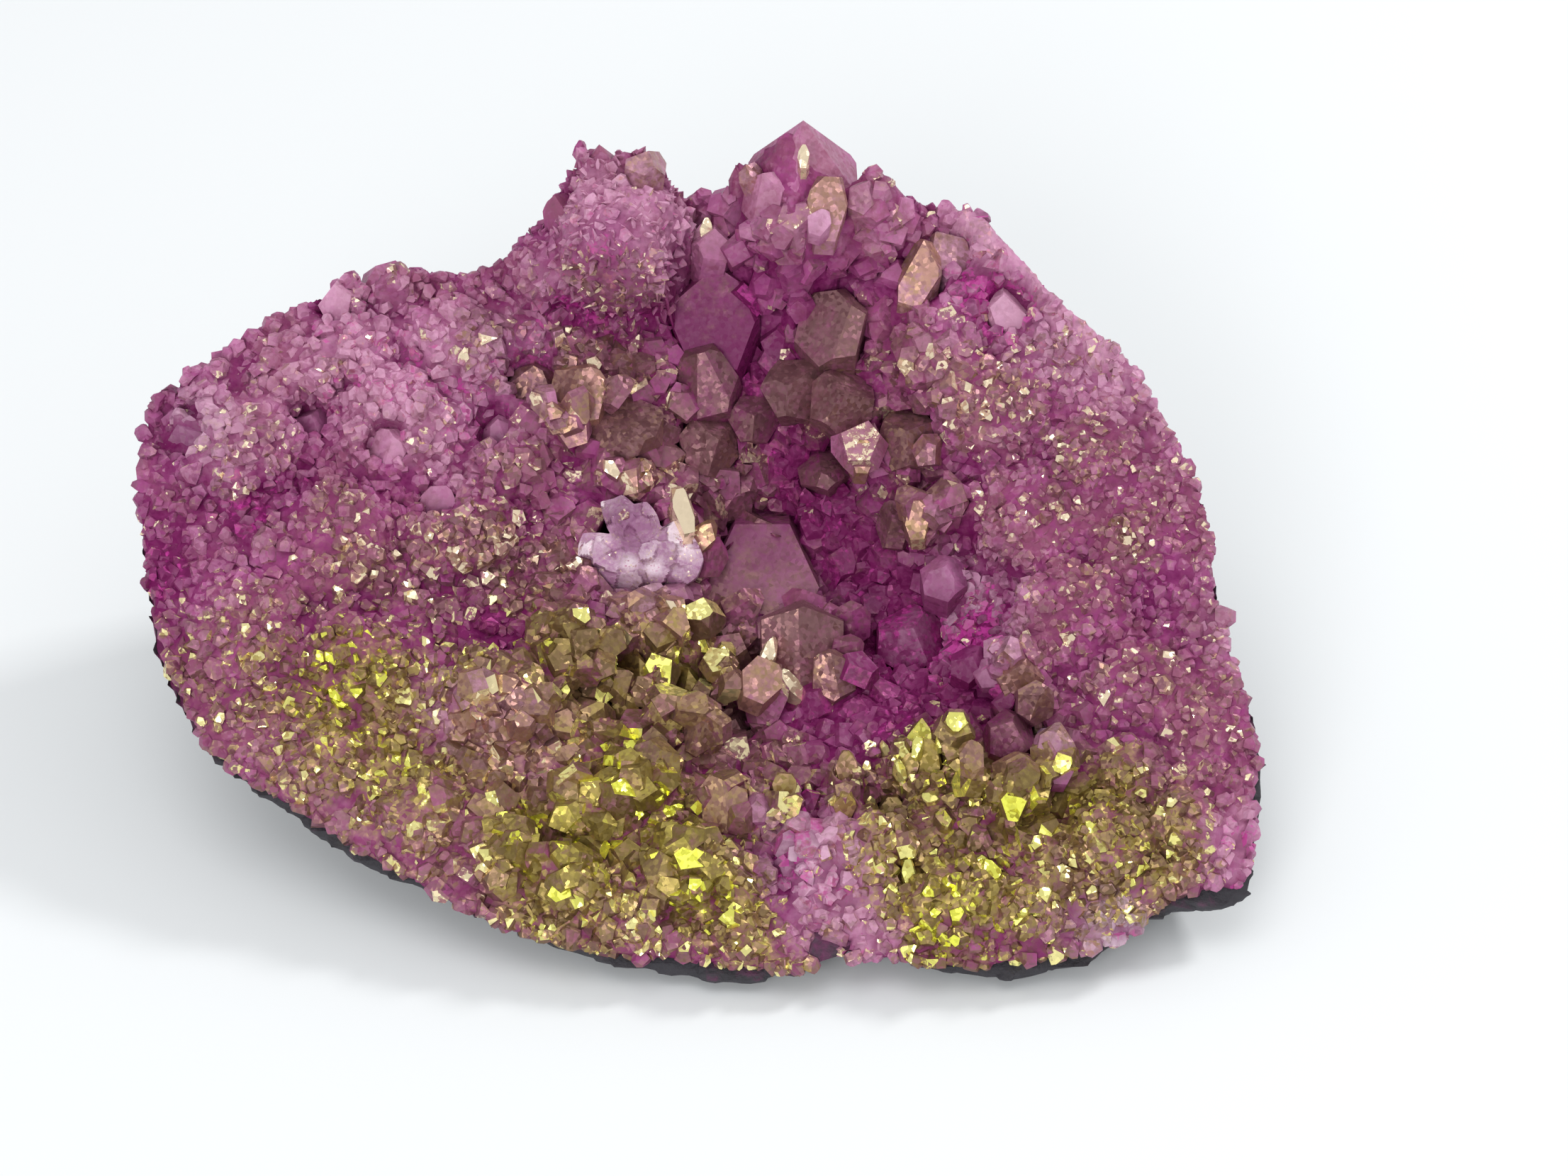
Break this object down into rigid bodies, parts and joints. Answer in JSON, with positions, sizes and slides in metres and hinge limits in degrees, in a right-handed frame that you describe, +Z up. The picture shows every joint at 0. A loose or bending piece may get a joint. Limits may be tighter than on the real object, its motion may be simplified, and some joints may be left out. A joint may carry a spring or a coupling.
{
  "type": "dyed geode half",
  "caption": "Half of a hollow quartz geode, leaning back on its rind: a thin dark stone rind lined with a crust of dyed crystals that have a metallic sheen.",
  "frame": {"origin": "centre of the stone's bounding box, on the surface that it rests on", "axes": "+X along the long way of the open face, +Y away from the viewer towards the high rim, +Z up"},
  "size_m": [0.0795, 0.0542, 0.0388],
  "materials": {
    "rind": "rough, matte, dark bluish grey",
    "crystal_crust": "glossy dyed quartz, magenta, with a gold to green metallic film"
  },
  "bodies": {
    "root": {"rind": "rind", "crystal_crust": "crystal_crust"}
  },
  "joints": []
}
